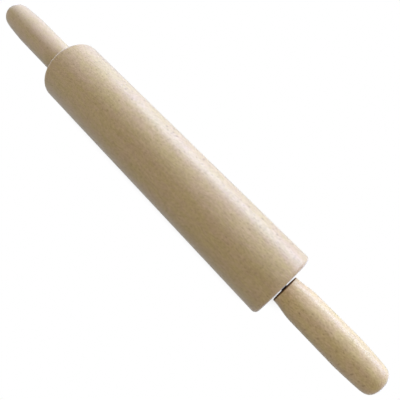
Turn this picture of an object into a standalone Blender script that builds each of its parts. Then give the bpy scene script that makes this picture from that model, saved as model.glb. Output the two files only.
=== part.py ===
"""Beech rolling pin: a turned barrel that runs on two ball bearings round a steel axle.

The pin lies on the table along X. Z = 0 is the table, and the origin is under its middle.
Both handles are fixed on the axle and stay in the hands while the barrel rolls.
"""

import math

import bmesh
import bpy
from mathutils import Matrix

# Fits
FIT = 0.0001
RUNNING_CLEARANCE = 0.00012
CUT_OVERRUN = 0.0005
MERGE_DISTANCE = 0.000001

# Barrel
BARREL_LENGTH = 0.250
BARREL_DIAMETER = 0.0546
BARREL_EDGE_RADIUS = 0.0037
BARREL_BORE = 0.012
BEARING_RECESS = 0.0005

# Handles
HANDLE_GAP = 0.0014
HANDLE_LENGTH = 0.086
HANDLE_BASE_DIAMETER = 0.0226
HANDLE_BASE_EDGE = 0.0008
HANDLE_GRIP_DIAMETER = 0.0263
HANDLE_NOSE_DIAMETER = 0.0220
HANDLE_SWELL_LENGTH = 0.018
HANDLE_NOSE_LENGTH = 0.030
NOSE_TAPER_POWER = 1.3
NOSE_BLUNT_POWER = 14
NOSE_ROUND_POWER = 0.54

# Axle: a thick middle, a journal for each bearing, and a splined tang driven into each handle
AXLE_DIAMETER = 0.007
JOURNAL_DIAMETER = 0.005
AXLE_EDGE = 0.0002
TANG_LENGTH = 0.045
TANG_DIAMETER = 0.0040
TANG_TOOTH_DEPTH = 0.0003
TANG_TEETH = 12
TANG_CHAMFER = 0.0005
TANG_END_SPACE = 0.0015
DRILL_POINT_LENGTH = 0.0013

# Ball bearings, pressed into the ends of the barrel
BEARING_DIAMETER = 0.019
BALL_COUNT = 6
BALL_DIAMETER = 0.0035
RACE_DEPTH = 0.00065
RING_EDGE = 0.0003
OUTER_RING_RIM = 0.00075
POCKET_CLEARANCE = 0.00015
CAGE_SIDE_CLEARANCE = 0.00045
CAGE_BACK = 0.00035
CAGE_HORN_REACH = 0.0010
CAGE_END_CLEARANCE = 0.00015
CAGE_NOTCH_WIDTH = 0.0007
CAGE_NOTCH_DEPTH = 0.0011
SHIELD_THICKNESS = 0.00035
SHIELD_DISH = 0.00015
SHIELD_FLANGE = 0.0007
SHIELD_SET_BACK = 0.0001
SHIELD_INNER_CLEARANCE = 0.00025

# Facets
BARREL_SIDES = 60
BARREL_EDGE_STEPS = 5
HANDLE_SIDES = 36
HANDLE_EDGE_STEPS = 2
HANDLE_SWELL_STEPS = 5
HANDLE_NOSE_STEPS = 11
OUTER_RING_SIDES = 32
INNER_RING_SIDES = 28
SHIELD_SIDES = 28
CAGE_SIDES = 36
POCKET_SIDES = 16
RACE_STEPS = 5
BALL_SEGMENTS = 12
BALL_RINGS = 8
SHARP_ANGLE = math.radians(35)

# Sizes that follow
AXIS_HEIGHT = BARREL_DIAMETER / 2
PITCH_RADIUS = (JOURNAL_DIAMETER + BEARING_DIAMETER) / 4
BALL_RADIUS = BALL_DIAMETER / 2
RACE_RADIUS = BALL_RADIUS + RUNNING_CLEARANCE
INNER_SHOULDER = PITCH_RADIUS - RACE_RADIUS + RACE_DEPTH
OUTER_SHOULDER = PITCH_RADIUS + RACE_RADIUS - RACE_DEPTH
POCKET_RADIUS = BALL_RADIUS + POCKET_CLEARANCE
CAGE_REAR = POCKET_RADIUS + CAGE_BACK
SHIELD_FACE = CAGE_REAR + CAGE_END_CLEARANCE
SHIELD_SEAT = SHIELD_FACE - FIT
BEARING_HALF_WIDTH = SHIELD_FACE + SHIELD_THICKNESS + SHIELD_DISH + SHIELD_SET_BACK
BEARING_CENTRE = BARREL_LENGTH / 2 - BEARING_RECESS - BEARING_HALF_WIDTH
HANDLE_BASE = BARREL_LENGTH / 2 + HANDLE_GAP
TANG_BORE_RADIUS = TANG_DIAMETER / 2 + FIT

# Colours as the surface reflects them, on the linear scale
BEECH = (0.56, 0.42, 0.26)
BEECH_HANDLE = (0.54, 0.39, 0.24)
BEARING_STEEL = (0.60, 0.60, 0.61)
BALL_STEEL = (0.72, 0.72, 0.73)
AXLE_STEEL = (0.060, 0.050, 0.045)
SHIELD_STEEL = (0.50, 0.50, 0.51)
CAGE_NYLON = (0.62, 0.60, 0.52)


def flats_at(radius, sides):
    """Corner radius of a faceted round whose flat sides lie at the given radius."""
    return radius / math.cos(math.pi / sides)


def arc(along, out, radius, start_deg, end_deg, steps):
    """Points (along, out) on an arc, from the start angle to the end angle."""
    points = []
    for step in range(steps + 1):
        angle = math.radians(start_deg + (end_deg - start_deg) * step / steps)
        points.append((along + radius * math.cos(angle), out + radius * math.sin(angle)))
    return points


def mirrored(outline):
    """The same outline on the other side of X = 0, run the other way."""
    return [(-along, out) for along, out in reversed(outline)]


def finished(bm, name, material):
    """Closes the mesh under its name, shaded smooth up to its real edges."""
    bmesh.ops.recalc_face_normals(bm, faces=bm.faces)
    mesh = bpy.data.meshes.new(name)
    bm.to_mesh(mesh)
    bm.free()
    mesh.shade_smooth()
    mesh.set_sharp_from_angle(angle=SHARP_ANGLE)
    mesh.materials.append(material)
    return mesh


def turned(name, outline, sides, material, closed=True):
    """Spins an outline of (along, out) points round X, with one flat side facing down."""
    bm = bmesh.new()
    verts = [bm.verts.new((along, 0.0, out)) for along, out in outline]
    ends = list(zip(verts, verts[1:]))
    if closed:
        ends.append((verts[-1], verts[0]))
    edges = [bm.edges.new(pair) for pair in ends]
    half_step = Matrix.Rotation(math.pi / sides, 3, "X")
    bmesh.ops.rotate(bm, verts=verts, cent=(0.0, 0.0, 0.0), matrix=half_step)
    bmesh.ops.spin(
        bm,
        geom=verts + edges,
        cent=(0.0, 0.0, 0.0),
        axis=(1.0, 0.0, 0.0),
        angle=2 * math.pi,
        steps=sides,
    )
    bmesh.ops.remove_doubles(bm, verts=bm.verts, dist=MERGE_DISTANCE)
    return finished(bm, name, material)


def surface(name, colour, roughness, metallic):
    """A plain material for one kind of piece."""
    material = bpy.data.materials.new(name)
    material.use_nodes = True
    shader = material.node_tree.nodes["Principled BSDF"]
    shader.inputs["Base Color"].default_value = (*colour, 1.0)
    shader.inputs["Roughness"].default_value = roughness
    shader.inputs["Metallic"].default_value = metallic
    material.diffuse_color = (*colour, 1.0)
    return material


def placed(name, mesh, parent, along=0.0, turned_round=False):
    """Puts a piece on its parent's X axis, facing the other way if asked."""
    piece = bpy.data.objects.new(name, mesh)
    bpy.context.scene.collection.objects.link(piece)
    piece.parent = parent
    piece.location = (along, 0.0, 0.0)
    if turned_round:
        piece.rotation_euler = (0.0, 0.0, math.pi)
    return piece


def axis_empty(name, parent=None, along=0.0, height=0.0, turned_round=False):
    """An empty that carries pieces which turn together."""
    empty = bpy.data.objects.new(name, None)
    bpy.context.scene.collection.objects.link(empty)
    empty.parent = parent
    empty.location = (along, 0.0, height)
    if turned_round:
        empty.rotation_euler = (0.0, 0.0, math.pi)
    return empty


def barrel_mesh():
    """Beech barrel with rounded rims, a through bore and a seat for a bearing in each end."""
    end = BARREL_LENGTH / 2
    seat_depth = BEARING_RECESS + 2 * BEARING_HALF_WIDTH + FIT
    seat_radius = BEARING_DIAMETER / 2 + FIT
    rim = BARREL_EDGE_RADIUS
    half = arc(end - rim, BARREL_DIAMETER / 2 - rim, rim, 90, 0, BARREL_EDGE_STEPS)
    half.append((end, seat_radius))
    half.append((end - seat_depth, seat_radius))
    half.append((end - seat_depth, BARREL_BORE / 2))
    outline = [(along, flats_at(out, BARREL_SIDES)) for along, out in half + mirrored(half)]
    beech = surface("beech_barrel", BEECH, 0.55, 0.0)
    return turned("barrel", outline, BARREL_SIDES, beech)


def handle_radius(along):
    """Radius of the turned handle at a distance from its base."""
    base = HANDLE_BASE_DIAMETER / 2
    grip = HANDLE_GRIP_DIAMETER / 2
    nose = HANDLE_NOSE_DIAMETER / 2
    if along < HANDLE_SWELL_LENGTH:
        eased = (1 - math.cos(math.pi * along / HANDLE_SWELL_LENGTH)) / 2
        return base + (grip - base) * eased
    nose_start = HANDLE_LENGTH - HANDLE_NOSE_LENGTH
    into_nose = min(max((along - nose_start) / HANDLE_NOSE_LENGTH, 0.0), 1.0)
    taper = grip - (grip - nose) * into_nose**NOSE_TAPER_POWER
    return taper * (1 - into_nose**NOSE_BLUNT_POWER) ** NOSE_ROUND_POWER


def handle_mesh():
    """Beech handle with a blind bore for the axle's tang, base at X = 0 and nose at +X."""
    bore = flats_at(TANG_BORE_RADIUS, HANDLE_SIDES)
    bore_depth = TANG_LENGTH + TANG_END_SPACE
    edge = HANDLE_BASE_EDGE
    outline = [(bore_depth + DRILL_POINT_LENGTH, 0.0), (bore_depth, bore), (0.0, bore)]
    outline += arc(edge, HANDLE_BASE_DIAMETER / 2 - edge, edge, 180, 90, HANDLE_EDGE_STEPS)
    for step in range(1, HANDLE_SWELL_STEPS + 1):
        along = edge + (HANDLE_SWELL_LENGTH - edge) * step / HANDLE_SWELL_STEPS
        outline.append((along, handle_radius(along)))
    nose_start = HANDLE_LENGTH - HANDLE_NOSE_LENGTH
    for step in range(HANDLE_NOSE_STEPS + 1):
        along = nose_start + HANDLE_NOSE_LENGTH * math.sin(math.pi / 2 * step / HANDLE_NOSE_STEPS)
        outline.append((along, handle_radius(along)))
    beech = surface("beech_handle", BEECH_HANDLE, 0.5, 0.0)
    return turned("handle", outline, HANDLE_SIDES, beech, closed=False)


def axle_mesh():
    """Steel rod turned down to a journal and then a splined tang at each end.

    The first shoulder stops the bearing's inner ring and the second one stops the handle.
    """
    middle = AXLE_DIAMETER / 2
    journal = JOURNAL_DIAMETER / 2
    crest = TANG_DIAMETER / 2
    root = crest - TANG_TOOTH_DEPTH
    ring_stop = BEARING_CENTRE - BEARING_HALF_WIDTH - FIT
    handle_stop = HANDLE_BASE - FIT
    tip = handle_stop + TANG_LENGTH
    half = [
        (ring_stop - AXLE_EDGE, middle, middle),
        (ring_stop, middle - AXLE_EDGE, middle - AXLE_EDGE),
        (ring_stop, journal, journal),
        (handle_stop - AXLE_EDGE, journal, journal),
        (handle_stop, journal - AXLE_EDGE, journal - AXLE_EDGE),
        (handle_stop, crest - AXLE_EDGE, root),
        (handle_stop + AXLE_EDGE, crest, root),
        (tip - TANG_CHAMFER, crest, root),
        (tip, root - TANG_CHAMFER, root - TANG_CHAMFER),
    ]
    stations = [(-along, high, low) for along, high, low in reversed(half)] + half
    corners = 2 * TANG_TEETH
    bm = bmesh.new()
    rings = []
    for along, high, low in stations:
        ring = []
        for corner in range(corners):
            angle = 2 * math.pi * corner / corners
            out = low if corner % 2 else high
            ring.append(bm.verts.new((along, out * math.sin(angle), out * math.cos(angle))))
        rings.append(ring)
    for near, far in zip(rings, rings[1:]):
        for corner in range(corners):
            after = (corner + 1) % corners
            bm.faces.new((near[corner], near[after], far[after], far[corner]))
    bm.faces.new(rings[0])
    bm.faces.new(rings[-1])
    steel = surface("axle_steel", AXLE_STEEL, 0.35, 1.0)
    return finished(bm, "axle", steel)


def race_outline(shoulder, outward):
    """The ball groove seen from the side, from +X to -X, cut to the shoulder radius."""
    rise = abs(shoulder - PITCH_RADIUS)
    reach = math.degrees(math.acos(rise / RACE_RADIUS))
    if outward:
        return arc(0.0, PITCH_RADIUS, RACE_RADIUS, 90 - reach, 90 + reach, RACE_STEPS)
    return arc(0.0, PITCH_RADIUS, RACE_RADIUS, -90 + reach, -90 - reach, RACE_STEPS)


def outer_ring_mesh(steel):
    """Bearing's outer ring: ball groove inside, and a stepped seat for each shield."""
    half = BEARING_HALF_WIDTH
    outside = BEARING_DIAMETER / 2
    rim = flats_at(outside - OUTER_RING_RIM, OUTER_RING_SIDES)
    shoulder = OUTER_SHOULDER
    edge = RING_EDGE
    right = [(half - edge, outside), (half, outside - edge), (half, rim), (SHIELD_SEAT, rim)]
    right.append((SHIELD_SEAT, flats_at(shoulder, OUTER_RING_SIDES)))
    groove = [(x, flats_at(out, OUTER_RING_SIDES)) for x, out in race_outline(shoulder, True)]
    return turned("bearing_outer_ring", right + groove + mirrored(right), OUTER_RING_SIDES, steel)


def inner_ring_mesh(steel):
    """Bearing's inner ring: ball groove outside, and a bore that sits on the axle's journal."""
    half = BEARING_HALF_WIDTH
    bore = flats_at(JOURNAL_DIAMETER / 2 + FIT, INNER_RING_SIDES)
    edge = RING_EDGE
    right = [(half - edge, bore), (half, bore + edge), (half, INNER_SHOULDER)]
    outline = right + race_outline(INNER_SHOULDER, False) + mirrored(right)
    return turned("bearing_inner_ring", outline, INNER_RING_SIDES, steel)


def shield_mesh():
    """Pressed steel shield: a flange in the outer ring's seat and a dished disc."""
    flange_edge = BEARING_DIAMETER / 2 - OUTER_RING_RIM - FIT
    flange_root = flange_edge - SHIELD_FLANGE
    dish_edge = flange_root - SHIELD_DISH
    hole = flats_at(INNER_SHOULDER + SHIELD_INNER_CLEARANCE, SHIELD_SIDES)
    back = SHIELD_FACE
    front = back + SHIELD_THICKNESS
    outline = [
        (back, flange_edge),
        (front, flange_edge),
        (front, flange_root),
        (front + SHIELD_DISH, dish_edge),
        (front + SHIELD_DISH, hole),
        (back + SHIELD_DISH, hole),
        (back + SHIELD_DISH, dish_edge),
        (back, flange_root),
    ]
    steel = surface("shield_steel", SHIELD_STEEL, 0.4, 1.0)
    return turned("bearing_shield", outline, SHIELD_SIDES, steel)


def cage_ring_mesh():
    """Moulded ring of the ball cage, before its pockets are cut."""
    inside = flats_at(INNER_SHOULDER + CAGE_SIDE_CLEARANCE, CAGE_SIDES)
    outside = OUTER_SHOULDER - CAGE_SIDE_CLEARANCE
    front = CAGE_HORN_REACH
    outline = [(-CAGE_REAR, inside), (-CAGE_REAR, outside), (front, outside), (front, inside)]
    nylon = surface("cage_nylon", CAGE_NYLON, 0.5, 0.0)
    return turned("bearing_cage", outline, CAGE_SIDES, nylon)


def cage_cutter_mesh():
    """A round pocket for each ball, and a notch between each pair of horns."""
    depth = OUTER_SHOULDER - INNER_SHOULDER + 2 * CUT_OVERRUN
    radius = flats_at(POCKET_RADIUS, POCKET_SIDES)
    notch_height = CAGE_NOTCH_DEPTH + CUT_OVERRUN
    notch_middle = CAGE_HORN_REACH + CUT_OVERRUN - notch_height / 2
    notch_size = Matrix.Diagonal((notch_height, CAGE_NOTCH_WIDTH, depth, 1.0))
    pitch = math.radians(360 / BALL_COUNT)
    bm = bmesh.new()
    for ball in range(BALL_COUNT):
        at_ball = Matrix.Rotation(ball * pitch, 4, "X")
        pocket = at_ball @ Matrix.Translation((0.0, 0.0, PITCH_RADIUS))
        bmesh.ops.create_cone(
            bm,
            cap_ends=True,
            segments=POCKET_SIDES,
            radius1=radius,
            radius2=radius,
            depth=depth,
            matrix=pocket,
        )
        between = Matrix.Rotation((ball + 0.5) * pitch, 4, "X")
        notch = between @ Matrix.Translation((notch_middle, 0.0, PITCH_RADIUS))
        bmesh.ops.create_cube(bm, size=1.0, matrix=notch @ notch_size)
    mesh = bpy.data.meshes.new("cage_cutter")
    bm.to_mesh(mesh)
    bm.free()
    return mesh


def ball_mesh():
    """Hardened steel ball."""
    bm = bmesh.new()
    bmesh.ops.create_uvsphere(
        bm, u_segments=BALL_SEGMENTS, v_segments=BALL_RINGS, radius=BALL_RADIUS
    )
    steel = surface("ball_steel", BALL_STEEL, 0.12, 1.0)
    return finished(bm, "bearing_ball", steel)


def cut_cage(name, ring, cutter_mesh, centre):
    """A cage on the bearing's centre, with its pockets and notches cut out."""
    cutter = placed(f"{name}_cutter", cutter_mesh, centre)
    cutter.hide_render = True
    cutter.display_type = "WIRE"
    cage = placed(name, ring, centre)
    pockets = cage.modifiers.new("pockets", "BOOLEAN")
    pockets.operation = "DIFFERENCE"
    pockets.object = cutter


def build():
    """Puts every piece in its place along the axle."""
    for leftover in list(bpy.data.objects):
        bpy.data.objects.remove(leftover)

    bearing_steel = surface("bearing_steel", BEARING_STEEL, 0.25, 1.0)
    handle = handle_mesh()
    outer_ring = outer_ring_mesh(bearing_steel)
    inner_ring = inner_ring_mesh(bearing_steel)
    shield = shield_mesh()
    cage_ring = cage_ring_mesh()
    cage_cutter = cage_cutter_mesh()
    ball = ball_mesh()

    rolling = axis_empty("rolling_axis", height=AXIS_HEIGHT)
    held = axis_empty("held_axis", height=AXIS_HEIGHT)
    placed("barrel", barrel_mesh(), rolling)
    placed("axle", axle_mesh(), held)

    for side, outward in (("left", -1), ("right", 1)):
        flip = outward < 0
        centre = outward * BEARING_CENTRE
        placed(f"handle_{side}", handle, held, outward * HANDLE_BASE, flip)
        placed(f"bearing_inner_ring_{side}", inner_ring, held, centre)
        placed(f"bearing_outer_ring_{side}", outer_ring, rolling, centre)
        placed(f"bearing_shield_outer_{side}", shield, rolling, centre, flip)
        placed(f"bearing_shield_inner_{side}", shield, rolling, centre, not flip)
        orbit = axis_empty(f"ball_orbit_{side}", None, centre, AXIS_HEIGHT, flip)
        cut_cage(f"bearing_cage_{side}", cage_ring, cage_cutter, orbit)
        for number in range(BALL_COUNT):
            angle = math.radians(360 * number / BALL_COUNT)
            piece = placed(f"bearing_ball_{side}_{number + 1}", ball, orbit)
            piece.location = (0.0, PITCH_RADIUS * math.sin(angle), PITCH_RADIUS * math.cos(angle))


build()
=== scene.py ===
"""Looks of a beech rolling pin whose barrel turns on ball bearings round a steel axle."""

import math

import bmesh
import bpy
from mathutils import Matrix, Vector


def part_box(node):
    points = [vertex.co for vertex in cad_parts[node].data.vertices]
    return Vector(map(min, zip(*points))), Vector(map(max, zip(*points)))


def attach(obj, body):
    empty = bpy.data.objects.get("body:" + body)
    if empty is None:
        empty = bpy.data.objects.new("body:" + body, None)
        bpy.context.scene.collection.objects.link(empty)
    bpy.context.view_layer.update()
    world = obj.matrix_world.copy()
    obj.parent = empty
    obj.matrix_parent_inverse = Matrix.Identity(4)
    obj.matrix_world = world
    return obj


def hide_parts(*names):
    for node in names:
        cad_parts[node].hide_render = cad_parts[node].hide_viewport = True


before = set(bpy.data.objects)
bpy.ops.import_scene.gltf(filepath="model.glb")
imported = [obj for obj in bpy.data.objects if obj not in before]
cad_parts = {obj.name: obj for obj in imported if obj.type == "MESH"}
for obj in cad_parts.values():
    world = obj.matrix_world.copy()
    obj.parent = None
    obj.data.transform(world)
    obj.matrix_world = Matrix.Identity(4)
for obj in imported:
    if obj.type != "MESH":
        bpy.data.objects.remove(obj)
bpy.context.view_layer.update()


# Camera
# A close view from above, just inside the barrel's right end, looking back along the pin. Its
# place and lens come from fitting the turned outline to the photograph.
camera_place = (0.1173, -0.0721, 0.3173)
camera_azimuth = 47.42
camera_elevation = 69.52
camera_lens = 36.71
camera_sensor = 36.0
camera_nearest = 0.01


def added(name, data):
    """A new object in the scene."""
    thing = bpy.data.objects.new(name, data)
    bpy.context.scene.collection.objects.link(thing)
    return thing


camera = added("camera", bpy.data.cameras.new("camera"))
bpy.context.scene.camera = camera
camera.data.sensor_width = camera_sensor
camera.data.lens = camera_lens
camera.data.clip_start = camera_nearest
camera.location = camera_place
camera.rotation_euler = (math.radians(90 - camera_elevation), 0.0, math.radians(camera_azimuth))


# Barrel
# One blank of steamed beech, turned between centres and sanded fine, with its rims rounded over.
# It is bored through and counterbored at each end for a bearing, and the wood is left bare.
barrel_low, barrel_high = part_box("barrel")
right_ring_low, right_ring_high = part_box("bearing_outer_ring_right")
axle_height = (barrel_low.z + barrel_high.z) / 2
barrel_end = barrel_high.x
barrel_radius = barrel_high.z - axle_height
barrel_rim_radius = 0.0037
barrel_rim_steps = 12
barrel_bore_radius = 0.006
barrel_sides = 192
seat_fit = 0.0001
seat_radius = right_ring_high.z - axle_height + seat_fit
seat_floor = right_ring_low.x - seat_fit
seat_mouth = 0.0002
sharp_angle = math.radians(32)
merge_distance = 0.000001

# Sizes in the grain: along the fibres, round the heart of the tree and out from it.
growth_size = (0.140, 0.045, 0.016)
band_size = (0.110, 0.016, 0.011)
dapple_size = (0.0080, 0.0042, 0.0042)
streak_size = (0.0042, 0.0009, 0.0009)
fibre_size = (0.0019, 0.00040, 0.00040)
pore_size = (0.0013, 0.00016, 0.00016)
blush_size = (0.0065, 0.0045, 0.0045)
warmth_size = (0.030, 0.014, 0.014)
sanding_size = (0.00035, 0.012, 0.012)
ring_width = 0.0024
ring_wander = 4.0
fleck_gap = 3.2
fleck_spacing = (0.0013, 0.0016)
fleck_share = 0.75
fleck_core = 0.35
grain_depth = 0.00002

# The shine of the wood, and the colours that its own colour is multiplied by.
wood_gloss = 0.42
wood_sheen = 1.0
olive_tint = (0.985, 1.0, 0.87)
pink_tint = (1.020, 0.978, 1.08)
fleck_tint = (0.52, 0.41, 0.34)
end_grain_tint = (0.88, 0.82, 0.76)

# Where a Mix node has its two colours and its result.
mix_first_colour = 6
mix_second_colour = 7
mix_colour_result = 2


def spun(outline, sides, closed=True):
    """A shell turned from an outline of (along, out) points round the axle's line."""
    shell = bmesh.new()
    corners = [shell.verts.new((along, 0.0, axle_height + out)) for along, out in outline]
    pairs = list(zip(corners, corners[1:]))
    if closed:
        pairs.append((corners[-1], corners[0]))
    edges = [shell.edges.new(pair) for pair in pairs]
    bmesh.ops.spin(
        shell,
        geom=corners + edges,
        cent=(0.0, 0.0, axle_height),
        axis=(1.0, 0.0, 0.0),
        angle=math.tau,
        steps=sides,
        use_merge=True,
    )
    bmesh.ops.remove_doubles(shell, verts=shell.verts, dist=merge_distance)
    return shell


def rim_edges(shell, along, out):
    """The edges of a shell's ring at a place along the axle's line and a distance out from it."""
    found = []
    for edge in shell.edges:
        off = [
            abs(vert.co.x - along) + abs(math.hypot(vert.co.y, vert.co.z - axle_height) - out)
            for vert in edge.verts
        ]
        if max(off) < 2 * merge_distance:
            found.append(edge)
    return found


def rounded(shell, along, out, width, steps):
    """Rounds over the corner of a shell at one ring."""
    bmesh.ops.bevel(
        shell,
        geom=rim_edges(shell, along, out),
        offset=width,
        offset_type="OFFSET",
        segments=steps,
        profile=0.5,
        affect="EDGES",
        material=-1,
    )


def piece_of(name, shell):
    """A plain object from a shell, which is used up."""
    mesh = bpy.data.meshes.new(name)
    shell.to_mesh(mesh)
    shell.free()
    return added(name, mesh)


def made(name, shell, finish):
    """The finished piece: faces outwards, smooth up to its real edges, in its material."""
    bmesh.ops.recalc_face_normals(shell, faces=shell.faces)
    piece = piece_of(name, shell)
    piece.data.shade_smooth()
    piece.data.set_sharp_from_angle(angle=sharp_angle)
    piece.data.materials.append(finish)
    return piece


def bare_finish(name):
    """A new material, its node tree and its shader."""
    finish = bpy.data.materials.new(name)
    finish.use_nodes = True
    return finish, finish.node_tree, finish.node_tree.nodes["Principled BSDF"]


def place_on(tree):
    """The place on the surface, in the pin's own frame."""
    return tree.nodes.new("ShaderNodeTexCoord").outputs["Object"]


def moved(tree, place, shift, turn=(0.0, 0.0, 0.0)):
    """A place after a turn and a shift."""
    node = tree.nodes.new("ShaderNodeMapping")
    tree.links.new(place, node.inputs["Vector"])
    node.inputs["Location"].default_value = shift
    node.inputs["Rotation"].default_value = turn
    return node.outputs["Vector"]


def parts_of(tree, vector):
    """The three parts of a place or a direction."""
    node = tree.nodes.new("ShaderNodeSeparateXYZ")
    tree.links.new(vector, node.inputs["Vector"])
    return node.outputs["X"], node.outputs["Y"], node.outputs["Z"]


def feed(tree, socket, value):
    """Links a socket to a node's input, or sets a plain number or colour there."""
    if isinstance(value, bpy.types.NodeSocket):
        tree.links.new(value, socket)
    elif isinstance(value, tuple):
        socket.default_value = (*value, 1.0)
    else:
        socket.default_value = value


def calc(tree, operation, *values):
    """A sum on numbers and sockets."""
    node = tree.nodes.new("ShaderNodeMath")
    node.operation = operation
    for socket, value in zip(node.inputs, values):
        feed(tree, socket, value)
    return node.outputs["Value"]


def round_and_out(tree, across, up):
    """The angle round a line and the distance out from it."""
    squared = calc(tree, "ADD", calc(tree, "POWER", across, 2), calc(tree, "POWER", up, 2))
    return calc(tree, "ARCTAN2", across, up), calc(tree, "SQRT", squared)


def eased(tree, value, start, end, low=0.0, high=1.0):
    """A smooth change from low to high as the value goes from start to end, held beyond them."""
    node = tree.nodes.new("ShaderNodeMapRange")
    node.interpolation_type = "SMOOTHSTEP"
    tree.links.new(value, node.inputs["Value"])
    node.inputs["From Min"].default_value = start
    node.inputs["From Max"].default_value = end
    node.inputs["To Min"].default_value = low
    node.inputs["To Max"].default_value = high
    return node.outputs["Result"]


def in_features(tree, place, *sizes):
    """A place given by three lengths, measured in features of these sizes."""
    node = tree.nodes.new("ShaderNodeCombineXYZ")
    for socket, length, size in zip(node.inputs, place, sizes):
        tree.links.new(calc(tree, "DIVIDE", length, size), socket)
    return node.outputs["Vector"]


def clouds(tree, place, detail=2.0, rough=0.5):
    """Soft noise round zero, about half a unit either way."""
    node = tree.nodes.new("ShaderNodeTexNoise")
    tree.links.new(place, node.inputs["Vector"])
    node.inputs["Scale"].default_value = 1.0
    node.inputs["Detail"].default_value = detail
    node.inputs["Roughness"].default_value = rough
    return calc(tree, "SUBTRACT", node.outputs["Fac"], 0.5)


def weighed(tree, start, *parts):
    """A start value plus each part times its weight."""
    total = start
    for part, weight in parts:
        total = calc(tree, "MULTIPLY_ADD", part, weight, total)
    return total


def tinted(tree, amount, first, second, blend="MIX"):
    """One colour taken towards another, or multiplied by it, by an amount."""
    node = tree.nodes.new("ShaderNodeMix")
    node.data_type = "RGBA"
    node.blend_type = blend
    feed(tree, node.inputs["Factor"], amount)
    feed(tree, node.inputs[mix_first_colour], first)
    feed(tree, node.inputs[mix_second_colour], second)
    return node.outputs[mix_colour_result]


def bumped(tree, shader, height, depth):
    """Fine relief on the surface, as deep as this where the height changes by one."""
    relief = tree.nodes.new("ShaderNodeBump")
    relief.inputs["Distance"].default_value = depth
    tree.links.new(height, relief.inputs["Height"])
    tree.links.new(relief.outputs["Normal"], shader.inputs["Normal"])


def ray_flecks(tree, wood, half_length, half_width):
    """Short dark dashes where the tree's rays come out at the surface."""
    spacing = (fleck_gap * half_length, *fleck_spacing)
    place = in_features(tree, wood, *spacing)
    cells = tree.nodes.new("ShaderNodeTexVoronoi")
    tree.links.new(place, cells.inputs["Vector"])
    cells.inputs["Scale"].default_value = 1.0
    away = tree.nodes.new("ShaderNodeVectorMath")
    away.operation = "SUBTRACT"
    tree.links.new(place, away.inputs[0])
    tree.links.new(cells.outputs["Position"], away.inputs[1])
    narrowed = tree.nodes.new("ShaderNodeVectorMath")
    narrowed.operation = "MULTIPLY"
    tree.links.new(away.outputs["Vector"], narrowed.inputs[0])
    narrowed.inputs[1].default_value = (spacing[0] / half_length, spacing[1] / half_width, 0.0)
    reach = tree.nodes.new("ShaderNodeVectorMath")
    reach.operation = "LENGTH"
    tree.links.new(narrowed.outputs["Vector"], reach.inputs[0])
    chance = tree.nodes.new("ShaderNodeSeparateColor")
    tree.links.new(cells.outputs["Color"], chance.inputs["Color"])
    kept = eased(tree, chance.outputs["Red"], 1 - fleck_share, 1.0)
    body = eased(tree, reach.outputs["Value"], 1.0, fleck_core)
    return calc(tree, "MULTIPLY", body, kept)


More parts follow.
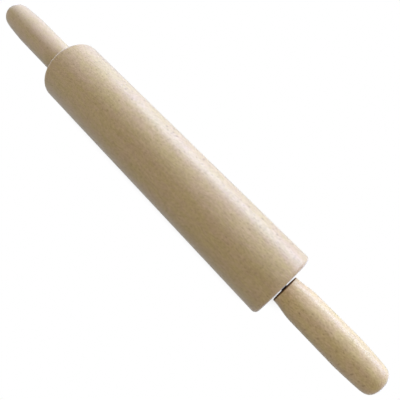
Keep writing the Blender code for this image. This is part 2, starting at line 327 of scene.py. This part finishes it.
def beech(name, heart, lean, pale, deep, flecking):
    """Beech as it grows: rings round the heart of the tree, fibres, pores and ray flecks.

    The heart is the place of the tree's middle, seen from the middle of the piece.
    The lean is the angle in degrees, across and down, between the fibres and the piece.
    Flecking is how long, how wide and how dark the flecks are.
    """
    finish, tree, shader = bare_finish(name)
    shader.inputs["IOR"].default_value = 1.5
    shader.inputs["Specular IOR Level"].default_value = wood_gloss
    shader.inputs["Diffuse Roughness"].default_value = 0.7
    shader.inputs["Sheen Weight"].default_value = wood_sheen
    shader.inputs["Sheen Roughness"].default_value = 0.36

    grain_turn = (0.0, math.radians(lean[1]), math.radians(lean[0]))
    along, across, deep_in = parts_of(tree, moved(tree, place_on(tree), heart, grain_turn))
    turn, from_the_heart = round_and_out(tree, across, deep_in)
    round_the_heart = calc(tree, "MULTIPLY", turn, math.hypot(heart[1], heart[2]))
    wood = (along, round_the_heart, from_the_heart)

    growth = clouds(tree, in_features(tree, wood, *growth_size))
    ring_count = calc(tree, "DIVIDE", from_the_heart, ring_width)
    ring_phase = calc(tree, "FRACT", weighed(tree, ring_count, (growth, ring_wander)))
    late_wood = eased(tree, ring_phase, 0.35, 0.97)
    early_wood = eased(tree, ring_phase, 0.0, 0.10, 1.0, 0.0)
    rings = calc(tree, "ADD", late_wood, early_wood)

    bands = clouds(tree, in_features(tree, wood, *band_size))
    dapple = clouds(tree, in_features(tree, wood, *dapple_size))
    streaks = clouds(tree, in_features(tree, wood, *streak_size), detail=3.0)
    fibres = clouds(tree, in_features(tree, wood, *fibre_size))
    pores = clouds(tree, in_features(tree, wood, *pore_size), detail=1.0)
    fleck_length, fleck_width, fleck_darkness = flecking
    flecks = ray_flecks(tree, wood, fleck_length, fleck_width)
    blush = clouds(tree, in_features(tree, wood, *blush_size))
    warmth = clouds(tree, in_features(tree, wood, *warmth_size), detail=1.0)
    sanding = clouds(tree, in_features(tree, wood, *sanding_size))
    facing = parts_of(tree, tree.nodes.new("ShaderNodeTexCoord").outputs["Normal"])
    end_grain = eased(tree, calc(tree, "ABSOLUTE", facing[0]), 0.50, 0.95)

    darkness = weighed(
        tree,
        0.44,
        (rings, 0.05),
        (bands, 0.24),
        (dapple, 0.42),
        (streaks, 0.70),
        (fibres, 1.45),
        (pores, 0.80),
    )
    long_grain = tinted(tree, eased(tree, darkness, 0.0, 1.0), pale, deep)
    hue = eased(tree, weighed(tree, 0.5, (blush, 1.5), (warmth, 1.2)), 0.0, 1.0)
    blushed = tinted(tree, 1.0, long_grain, tinted(tree, hue, olive_tint, pink_tint), "MULTIPLY")
    fleck_amount = calc(tree, "MULTIPLY", flecks, fleck_darkness)
    flecked = tinted(tree, fleck_amount, blushed, fleck_tint, "MULTIPLY")
    ended = tinted(tree, end_grain, flecked, end_grain_tint, "MULTIPLY")
    tree.links.new(ended, shader.inputs["Base Color"])

    roughness = weighed(
        tree, 0.46, (streaks, 0.12), (sanding, 0.10), (flecks, -0.08), (end_grain, 0.10)
    )
    tree.links.new(roughness, shader.inputs["Roughness"])
    height = weighed(tree, 0.0, (pores, -0.55), (fibres, -0.45), (flecks, -0.50), (sanding, 0.35))
    bumped(tree, shader, height, grain_depth)
    return finish


barrel_outline = [
    (barrel_end, barrel_radius),
    (barrel_end, seat_radius),
    (seat_floor, seat_radius),
    (seat_floor, barrel_bore_radius),
    (-seat_floor, barrel_bore_radius),
    (-seat_floor, seat_radius),
    (-barrel_end, seat_radius),
    (-barrel_end, barrel_radius),
]
barrel_shell = spun(barrel_outline, barrel_sides)
for end in (barrel_end, -barrel_end):
    rounded(barrel_shell, end, barrel_radius, barrel_rim_radius, barrel_rim_steps)
    rounded(barrel_shell, end, seat_radius, seat_mouth, 2)

barrel_beech = beech(
    "beech of the barrel",
    heart=(0.031, 0.047, -0.113),
    lean=(-2.2, 1.0),
    pale=(0.655, 0.503, 0.280),
    deep=(0.440, 0.314, 0.148),
    flecking=(0.0012, 0.00027, 0.80),
)
turned_barrel = made("turned_barrel", barrel_shell, barrel_beech)
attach(turned_barrel, "barrel")
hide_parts("barrel")


# Handles
# Each is turned from its own small beech blank: a short swell from the base, a long grip and a
# blunt round nose. A blind hole takes the axle's tang, which is driven in with glue.
handle_low, handle_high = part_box("handle_right")
handle_base = handle_low.x
handle_length = handle_high.x - handle_low.x
handle_base_radius = 0.0113
handle_base_edge = 0.0008
handle_grip_radius = 0.01315
handle_nose_radius = 0.0110
handle_swell_length = 0.018
handle_nose_length = 0.030
handle_swell_steps = 14
handle_nose_steps = 36
handle_sides = 96
nose_taper_power = 1.3
nose_blunt_power = 14
nose_round_power = 0.54
tang_bore_radius = 0.0021
tang_bore_depth = 0.0465
drill_point = 0.0013


def handle_radius(along):
    """Radius of the turned handle at a distance from its base."""
    if along < handle_swell_length:
        ease = (1 - math.cos(math.pi * along / handle_swell_length)) / 2
        return handle_base_radius + (handle_grip_radius - handle_base_radius) * ease
    into_nose = max(0.0, 1 - (handle_length - along) / handle_nose_length)
    taper = (handle_grip_radius - handle_nose_radius) * into_nose**nose_taper_power
    blunt = max(0.0, 1 - into_nose**nose_blunt_power) ** nose_round_power
    return (handle_grip_radius - taper) * blunt


def facing_out(shell, side, along):
    """Moves a shell that was made for the right end out along the axle, on the side asked for."""
    bmesh.ops.translate(shell, verts=shell.verts, vec=(along, 0.0, 0.0))
    if side == "left":
        bmesh.ops.rotate(
            shell,
            verts=shell.verts,
            cent=(0.0, 0.0, axle_height),
            matrix=Matrix.Rotation(math.pi, 3, "Z"),
        )


handle_outline = [
    (tang_bore_depth + drill_point, 0.0),
    (tang_bore_depth, tang_bore_radius),
    (0.0, tang_bore_radius),
    (0.0, handle_base_radius),
]
swell_start = 1.5 * handle_base_edge
for step in range(1, handle_swell_steps + 1):
    along = swell_start + (handle_swell_length - swell_start) * step / handle_swell_steps
    handle_outline.append((along, handle_radius(along)))
nose_start = handle_length - handle_nose_length
for step in range(handle_nose_steps + 1):
    along = nose_start + handle_nose_length * math.sin(math.pi / 2 * step / handle_nose_steps)
    handle_outline.append((along, handle_radius(along)))
handle_outline[-1] = (handle_length, 0.0)

handle_hearts = {"left": (0.010, -0.058, -0.060), "right": (-0.120, 0.071, 0.034)}
handle_leans = {"left": (2.4, -1.5), "right": (-2.0, 2.2)}
handle_pales = {"left": (0.648, 0.502, 0.306), "right": (0.732, 0.570, 0.306)}
handle_deeps = {"left": (0.496, 0.368, 0.204), "right": (0.490, 0.355, 0.162)}
handle_fleckings = {"left": (0.0010, 0.00016, 0.40), "right": (0.0010, 0.00016, 0.70)}
# Painted shade in the narrow gap at each handle's base: how far it reaches from the base, how it
# fades, and the colour the wood is multiplied by.
gap_shade_reach = 0.0010
gap_shade_fade = 0.0006
gap_shade_tint = (0.22, 0.14, 0.10)


def paint_gap_shade(finish):
    """Painted shade on a handle's end beside the barrel, in the narrow gap: darker wood, less
    sheen and less gloss.
    """
    tree = finish.node_tree
    shader = tree.nodes["Principled BSDF"]
    unshaded_wood = shader.inputs["Base Color"].links[0].from_socket
    from_middle = calc(tree, "ABSOLUTE", parts_of(tree, place_on(tree))[0])
    shaded_end = handle_base + gap_shade_reach
    gap_shade = eased(tree, from_middle, shaded_end, shaded_end - gap_shade_fade)
    shaded_wood = tinted(tree, gap_shade, unshaded_wood, gap_shade_tint, "MULTIPLY")
    tree.links.new(shaded_wood, shader.inputs["Base Color"])
    sheen = weighed(tree, wood_sheen, (gap_shade, -0.95))
    tree.links.new(sheen, shader.inputs["Sheen Weight"])
    gloss = weighed(tree, wood_gloss, (gap_shade, -0.38))
    tree.links.new(gloss, shader.inputs["Specular IOR Level"])


for side in ("left", "right"):
    handle_shell = spun(handle_outline, handle_sides, closed=False)
    rounded(handle_shell, 0.0, handle_base_radius, handle_base_edge, 4)
    facing_out(handle_shell, side, handle_base)
    handle_beech = beech(
        f"beech of the {side} handle",
        heart=handle_hearts[side],
        lean=handle_leans[side],
        pale=handle_pales[side],
        deep=handle_deeps[side],
        flecking=handle_fleckings[side],
    )
    # Painted shade on the handle's base face, in the gap beside the barrel.
    paint_gap_shade(handle_beech)
    turned_handle = made(f"turned_handle_{side}", handle_shell, handle_beech)
    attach(turned_handle, "axle_and_handles")
    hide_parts(f"handle_{side}")


# Axle
# One steel rod through the pin, blackened, and coloured darker still as painted shade for the
# narrow gaps where it shows. Its thick middle ends in a shoulder that stops each bearing, then
# come a journal, a second shoulder that stops the handle, and a splined tang.
middle_radius = 0.0035
journal_radius = 0.0025
axle_corner = 0.0002
axle_fit = 0.0001
axle_sides = 96
ring_stop = right_ring_low.x - axle_fit
handle_stop = handle_base - axle_fit
tang_length = 0.045
tang_crest_radius = 0.0020
tang_tooth_depth = 0.0003
tang_teeth = 12
tang_chamfer = 0.0005
flank_slope = 2.4
flank_start = 0.7
stain_size = 0.0025
speck_size = 0.00025
stain_darkness = 0.72


def worked_steel(name, tone, edge_tone, dullness, marks, mark_depth):
    """Steel with the fine marks of its making: how far one runs along, out and round."""
    finish, tree, shader = bare_finish(name)
    shader.inputs["Metallic"].default_value = 1.0
    shader.inputs["Specular Tint"].default_value = (edge_tone, edge_tone, edge_tone, 1.0)
    from_axle = moved(tree, place_on(tree), (0.0, 0.0, -axle_height))
    along, across, up = parts_of(tree, from_axle)
    turn, out = round_and_out(tree, across, up)
    metal = (along, out, calc(tree, "MULTIPLY", turn, out))

    scratches = clouds(tree, in_features(tree, metal, *marks), detail=3.0, rough=0.6)
    stains = clouds(tree, in_features(tree, metal, *[stain_size] * 3), detail=3.0)
    specks = clouds(tree, in_features(tree, metal, *[speck_size] * 3), detail=1.0)
    dulled = weighed(tree, 0.35, (scratches, 0.9), (stains, 0.9), (specks, 0.3))
    dark_tone = tuple(stain_darkness * part for part in tone)
    colour = tinted(tree, eased(tree, dulled, 0.0, 1.0), tone, dark_tone)
    tree.links.new(colour, shader.inputs["Base Color"])
    roughness = weighed(tree, dullness, (scratches, 0.16), (stains, 0.12), (specks, 0.06))
    tree.links.new(roughness, shader.inputs["Roughness"])
    bumped(tree, shader, weighed(tree, 0.0, (scratches, 1.0), (specks, 0.3)), mark_depth)
    return finish


def ring_of_edges(shell, along):
    """The edges of a shell's open rim at this place along the axle."""
    return [
        edge
        for edge in shell.edges
        if edge.is_boundary and all(abs(v.co.x - along) < merge_distance for v in edge.verts)
    ]


def tang_radius(turn):
    """Radius of the splined tang at an angle round it: flat crests, sloping flanks, flat roots."""
    into_tooth = abs(2 * (turn * tang_teeth / math.tau % 1.0) - 1)
    depth = min(max(flank_slope * into_tooth - flank_start, 0.0), 1.0)
    return tang_crest_radius - tang_tooth_depth * depth


def grown(shell, edges, along, radius_at):
    """Draws a rim out along the axle to a new rim, whose radius depends on the angle."""
    drawn = bmesh.ops.extrude_edge_only(shell, edges=edges)["geom"]
    for vert in (part for part in drawn if isinstance(part, bmesh.types.BMVert)):
        turn = math.atan2(vert.co.y, vert.co.z - axle_height)
        radius = radius_at(turn)
        vert.co = (along, radius * math.sin(turn), axle_height + radius * math.cos(turn))
    return [part for part in drawn if isinstance(part, bmesh.types.BMEdge)]


axle_shell = spun(
    [
        (-handle_stop, tang_crest_radius),
        (-handle_stop, journal_radius),
        (-ring_stop, journal_radius),
        (-ring_stop, middle_radius),
        (ring_stop, middle_radius),
        (ring_stop, journal_radius),
        (handle_stop, journal_radius),
        (handle_stop, tang_crest_radius),
    ],
    axle_sides,
    closed=False,
)
for outward in (1, -1):
    rounded(axle_shell, outward * ring_stop, middle_radius, axle_corner, 3)
    rounded(axle_shell, outward * handle_stop, journal_radius, axle_corner, 3)
    tip = handle_stop + tang_length
    rim = ring_of_edges(axle_shell, outward * handle_stop)
    rim = grown(axle_shell, rim, outward * (handle_stop + axle_corner), tang_radius)
    rim = grown(axle_shell, rim, outward * (tip - tang_chamfer), tang_radius)
    rim = grown(axle_shell, rim, outward * tip, lambda turn: tang_radius(turn) - tang_chamfer)
    bmesh.ops.edgeloop_fill(axle_shell, edges=rim)

axle_black_and_shaded = worked_steel(
    "blackened and shaded steel",
    # The tone and edge tone lie below those of real black oxide: painted shade for the gaps beside
    # the barrel.
    tone=(0.024, 0.018, 0.015),
    edge_tone=0.05,
    dullness=0.58,
    marks=(0.00009, 0.00009, 0.0040),
    mark_depth=0.000004,
)
splined_axle = made("splined_axle", axle_shell, axle_black_and_shaded)
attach(splined_axle, "axle_and_handles")
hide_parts("axle")


# Bearing rings
# Ground steel rings with a groove for the balls. The outer one is pressed into the barrel and
# has a step on each side for a shield, and the inner one is pressed on the axle's journal.
bearing_middle = (right_ring_low.x + right_ring_high.x) / 2
ring_half_width = (right_ring_high.x - right_ring_low.x) / 2
ring_outside_radius = right_ring_high.z - axle_height
ring_bore_radius = journal_radius + axle_fit
ball_radius = 0.00175
ball_pitch_radius = (journal_radius + ring_outside_radius) / 2
groove_radius = 0.00187
groove_depth = 0.00065
groove_steps = 24
outer_rim_radius = 0.00875
outer_shoulder_radius = ball_pitch_radius + groove_radius - groove_depth
inner_shoulder_radius = ball_pitch_radius - groove_radius + groove_depth
shield_seat = 0.0023
ring_corner = 0.0003
ring_fine_corner = 0.00008
ring_sides = 128


def mirrored(outline):
    """The same outline on the other side of the bearing's middle, run the other way."""
    return [(-along, out) for along, out in reversed(outline)]


def ball_groove(outward):
    """The groove from the right shoulder to the left one, outwards or inwards of the balls."""
    reach = math.acos((groove_radius - groove_depth) / groove_radius)
    points = []
    for step in range(groove_steps + 1):
        angle = reach * (1 - 2 * step / groove_steps)
        along = groove_radius * math.sin(angle)
        points.append((along, ball_pitch_radius + outward * groove_radius * math.cos(angle)))
    return points


ground_steel = worked_steel(
    "ground bearing steel",
    tone=(0.60, 0.60, 0.61),
    edge_tone=0.9,
    dullness=0.24,
    marks=(0.00005, 0.00005, 0.0060),
    mark_depth=0.0000015,
)
outer_half = [
    (ring_half_width, ring_outside_radius),
    (ring_half_width, outer_rim_radius),
    (shield_seat, outer_rim_radius),
    (shield_seat, outer_shoulder_radius),
]
inner_half = [(ring_half_width, ring_bore_radius), (ring_half_width, inner_shoulder_radius)]

for side in ("left", "right"):
    outer_shell = spun(outer_half + ball_groove(1) + mirrored(outer_half), ring_sides)
    inner_shell = spun(inner_half + ball_groove(-1) + mirrored(inner_half), ring_sides)
    for face in (ring_half_width, -ring_half_width):
        rounded(outer_shell, face, ring_outside_radius, ring_corner, 4)
        rounded(outer_shell, face, outer_rim_radius, ring_fine_corner, 2)
        rounded(inner_shell, face, ring_bore_radius, ring_corner, 4)
        rounded(inner_shell, face, inner_shoulder_radius, ring_fine_corner, 2)
    facing_out(outer_shell, side, bearing_middle)
    facing_out(inner_shell, side, bearing_middle)
    outer_race = made(f"outer_race_{side}", outer_shell, ground_steel)
    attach(outer_race, "barrel")
    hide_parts(f"bearing_outer_ring_{side}")
    inner_race = made(f"inner_race_{side}", inner_shell, ground_steel)
    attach(inner_race, "axle_and_handles")
    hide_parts(f"bearing_inner_ring_{side}")


# Bearing shields
# A pressed steel disc on each side of each bearing keeps flour out. Its flange is snapped into
# the outer ring's step, and the dished middle stops just short of the inner ring.
shield_fit = 0.0001
shield_thickness = 0.00035
shield_dish = 0.00015
shield_back = shield_seat + shield_fit
shield_front = shield_back + shield_thickness
shield_edge_radius = outer_rim_radius - shield_fit
shield_flange_radius = shield_edge_radius - 0.0007
shield_dish_radius = shield_flange_radius - shield_dish
shield_hole_radius = inner_shoulder_radius + 0.00028
shield_corner = 0.00006
shield_outline = [
    (shield_back, shield_edge_radius),
    (shield_front, shield_edge_radius),
    (shield_front, shield_flange_radius),
    (shield_front + shield_dish, shield_dish_radius),
    (shield_front + shield_dish, shield_hole_radius),
    (shield_back + shield_dish, shield_hole_radius),
    (shield_back + shield_dish, shield_dish_radius),
    (shield_back, shield_flange_radius),
]
pressed_steel = worked_steel(
    "pressed shield steel",
    tone=(0.50, 0.50, 0.51),
    edge_tone=0.9,
    dullness=0.36,
    marks=(0.00030, 0.00012, 0.0030),
    mark_depth=0.000002,
)

for side in ("left", "right"):
    for place, facing in (("outer", 1), ("inner", -1)):
        shield_shell = spun(shield_outline, ring_sides)
        for along, out in shield_outline:
            rounded(shield_shell, along, out, shield_corner, 2)
        if facing < 0:
            bmesh.ops.scale(shield_shell, verts=shield_shell.verts, vec=(-1.0, 1.0, 1.0))
        facing_out(shield_shell, side, bearing_middle)
        dished_shield = made(f"dished_shield_{place}_{side}", shield_shell, pressed_steel)
        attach(dished_shield, "barrel")
        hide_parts(f"bearing_shield_{place}_{side}")


# Ball cages
# A crown moulded in natural nylon, open on one side, so that it snaps over the balls and keeps
# them apart. It goes round with them at about a third of the axle's turn.
cage_inside_radius = inner_shoulder_radius + 0.00046
cage_outside_radius = outer_shoulder_radius - 0.00045
cage_back = 0.00225
cage_front = 0.0010
cage_sides = 144
cage_corner = 0.00006
cage_pocket_radius = 0.0019
cage_pocket_sides = 48
cage_notch_width = 0.0007
cage_notch_depth = 0.0011
cage_cut_overrun = 0.0005
cage_eased_angle = math.radians(40)
ball_count = 6
nylon_pale = (0.64, 0.62, 0.54)
nylon_deep = (0.57, 0.54, 0.45)
nylon_flow_size = (0.0012, 0.0030, 0.0030)
nylon_skin_size = 0.00012
nylon_skin_depth = 0.000004


def cut_out(shell, cutter_shell):
    """What is left of a shell when the cutter's solids are taken out of it, corners eased."""
    whole = piece_of("uncut_cage", shell)
    cutter = piece_of("cage_cutter", cutter_shell)
    cut = whole.modifiers.new("cut", "BOOLEAN")
    cut.operation = "DIFFERENCE"
    cut.object = cutter
    eased_corners = whole.modifiers.new("corners", "BEVEL")
    eased_corners.width = cage_corner
    eased_corners.segments = 2
    eased_corners.limit_method = "ANGLE"
    eased_corners.angle_limit = cage_eased_angle
    bpy.context.view_layer.update()
    left_over = bmesh.new()
    left_over.from_object(whole, bpy.context.evaluated_depsgraph_get())
    for piece in (whole, cutter):
        bpy.data.objects.remove(piece)
    bmesh.ops.remove_doubles(left_over, verts=left_over.verts, dist=merge_distance)
    return left_over


def cage_cutters():
    """A round pocket for each ball, and a notch between each pair of the cage's horns."""
    depth = cage_outside_radius - cage_inside_radius + 4 * cage_cut_overrun
    notch_height = cage_notch_depth + cage_cut_overrun
    notch_middle = cage_front + cage_cut_overrun - notch_height / 2
    notch_size = Matrix.Diagonal((notch_height, cage_notch_width, depth, 1.0))
    axle_line = Matrix.Translation((0.0, 0.0, axle_height))
    pitch = math.tau / ball_count
    shell = bmesh.new()
    for ball in range(ball_count):
        at_ball = axle_line @ Matrix.Rotation(ball * pitch, 4, "X")
        bmesh.ops.create_cone(
            shell,
            cap_ends=True,
            segments=cage_pocket_sides,
            radius1=cage_pocket_radius,
            radius2=cage_pocket_radius,
            depth=depth,
            matrix=at_ball @ Matrix.Translation((0.0, 0.0, ball_pitch_radius)),
        )
        between = axle_line @ Matrix.Rotation((ball + 0.5) * pitch, 4, "X")
        notch = between @ Matrix.Translation((notch_middle, 0.0, ball_pitch_radius))
        bmesh.ops.create_cube(shell, size=1.0, matrix=notch @ notch_size)
    return shell


natural_nylon, tree, nylon = bare_finish("natural nylon")
nylon.inputs["IOR"].default_value = 1.53
nylon.inputs["Subsurface Weight"].default_value = 0.25
nylon.inputs["Subsurface Scale"].default_value = 0.0008
plastic = parts_of(tree, place_on(tree))
flow = clouds(tree, in_features(tree, plastic, *nylon_flow_size))
skin = clouds(tree, in_features(tree, plastic, *[nylon_skin_size] * 3))
nylon_tone = eased(tree, weighed(tree, 0.4, (flow, 1.2), (skin, 0.5)), 0.0, 1.0)
nylon_colour = tinted(tree, nylon_tone, nylon_pale, nylon_deep)
tree.links.new(nylon_colour, nylon.inputs["Base Color"])
tree.links.new(weighed(tree, 0.48, (flow, 0.10), (skin, 0.12)), nylon.inputs["Roughness"])
bumped(tree, nylon, skin, nylon_skin_depth)

for side in ("left", "right"):
    cage_ring = spun(
        [
            (-cage_back, cage_inside_radius),
            (-cage_back, cage_outside_radius),
            (cage_front, cage_outside_radius),
            (cage_front, cage_inside_radius),
        ],
        cage_sides,
    )
    bmesh.ops.recalc_face_normals(cage_ring, faces=cage_ring.faces)
    cage_shell = cut_out(cage_ring, cage_cutters())
    facing_out(cage_shell, side, bearing_middle)
    crown_cage = made(f"crown_cage_{side}", cage_shell, natural_nylon)
    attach(crown_cage, f"ball_set_{side}")
    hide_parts(f"bearing_cage_{side}")


# Balls
# Six hardened and polished steel balls in each bearing, which roll between the two grooves.
ball_round_segments = 40
ball_height_segments = 24
polished_steel = worked_steel(
    "polished ball steel",
    tone=(0.72, 0.72, 0.73),
    edge_tone=1.0,
    dullness=0.10,
    marks=(0.00040, 0.00010, 0.0005),
    mark_depth=0.0000004,
)

for side in ("left", "right"):
    for number in range(1, ball_count + 1):
        ball_node = f"bearing_ball_{side}_{number}"
        ball_low, ball_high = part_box(ball_node)
        ball_shell = bmesh.new()
        bmesh.ops.create_uvsphere(
            ball_shell,
            u_segments=ball_round_segments,
            v_segments=ball_height_segments,
            radius=ball_radius,
            matrix=Matrix.Translation((ball_low + ball_high) / 2),
        )
        steel_ball = made(f"steel_ball_{side}_{number}", ball_shell, polished_steel)
        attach(steel_ball, f"ball_set_{side}")
        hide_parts(ball_node)


# Floor, light and world
# A table, one broad, low window of soft light across the pin from the far side, and a lamp above.
# The table and the air round it look white by a glow, and the table keeps the pin's shadow. Near
# the pin the glow gives way to the table's own dark brown colour where ambient occlusion is low,
# so the shade there is real shadow deepened by painted shade.
floor_size = 12.0
floor_tone = (0.24, 0.17, 0.11)
shadow_reach = 0.022
shadow_full = 0.16
shadow_gone = 0.52
window_width = 1.60
window_height = 0.50
window_place = Vector((0.05, 0.95, 0.25))
window_power = 23.5
window_colour = (0.84, 1.02, 1.52)
ceiling_size = 1.0
ceiling_place = Vector((0.15, 0.15, 1.20))
ceiling_power = 5.5
ceiling_colour = (1.0, 1.0, 1.0)
room_light = 0.27

floor_shell = bmesh.new()
bmesh.ops.create_grid(floor_shell, x_segments=1, y_segments=1, size=floor_size / 2)
floor = piece_of("table", floor_shell)


def seen_directly(tree):
    """One for rays from the camera, from gloss and through glass, and nought for the rest."""
    path = tree.nodes.new("ShaderNodeLightPath").outputs
    seen = calc(tree, "MAXIMUM", path["Is Camera Ray"], path["Is Glossy Ray"])
    return calc(tree, "MAXIMUM", seen, path["Is Transmission Ray"])


table_white, tree, table_shader = bare_finish("white table")
table_shader.inputs["Base Color"].default_value = (*floor_tone, 1.0)
table_shader.inputs["Roughness"].default_value = 0.9
glow = tree.nodes.new("ShaderNodeEmission")
glow.inputs["Strength"].default_value = 1.0
# Painted shade: where the ambient occlusion is low, the glow fades and the table's dark brown
# colour shows.
openness = tree.nodes.new("ShaderNodeAmbientOcclusion")
openness.inputs["Distance"].default_value = shadow_reach
open_air = eased(tree, openness.outputs["AO"], shadow_full, shadow_gone)
mixed = tree.nodes.new("ShaderNodeMixShader")
tree.links.new(calc(tree, "MULTIPLY", seen_directly(tree), open_air), mixed.inputs["Fac"])
tree.links.new(table_shader.outputs["BSDF"], mixed.inputs[1])
tree.links.new(glow.outputs["Emission"], mixed.inputs[2])
tree.links.new(mixed.outputs["Shader"], tree.nodes["Material Output"].inputs["Surface"])
floor.data.materials.append(table_white)


def soft_lamp(name, place, size, power, colour):
    """A broad lamp that faces the middle of the pin."""
    lamp = added(name, bpy.data.lights.new(name, "AREA"))
    lamp.data.shape = "RECTANGLE"
    lamp.data.size, lamp.data.size_y = size
    lamp.data.energy = power
    lamp.data.color = colour
    lamp.location = place
    aim = Vector((0.0, 0.0, axle_height)) - place
    lamp.rotation_euler = aim.to_track_quat("-Z", "Y").to_euler()


window_size = (window_width, window_height)
soft_lamp("window", window_place, window_size, window_power, window_colour)
soft_lamp("ceiling", ceiling_place, (ceiling_size,) * 2, ceiling_power, ceiling_colour)

world = bpy.data.worlds.new("room")
bpy.context.scene.world = world
world.use_nodes = True
tree = world.node_tree
room = tree.nodes["Background"]
strength = weighed(tree, room_light, (seen_directly(tree), 1.0 - room_light))
tree.links.new(strength, room.inputs["Strength"])
room.inputs["Color"].default_value = (1.0, 1.0, 1.0, 1.0)

bpy.context.scene.view_settings.view_transform = "Standard"
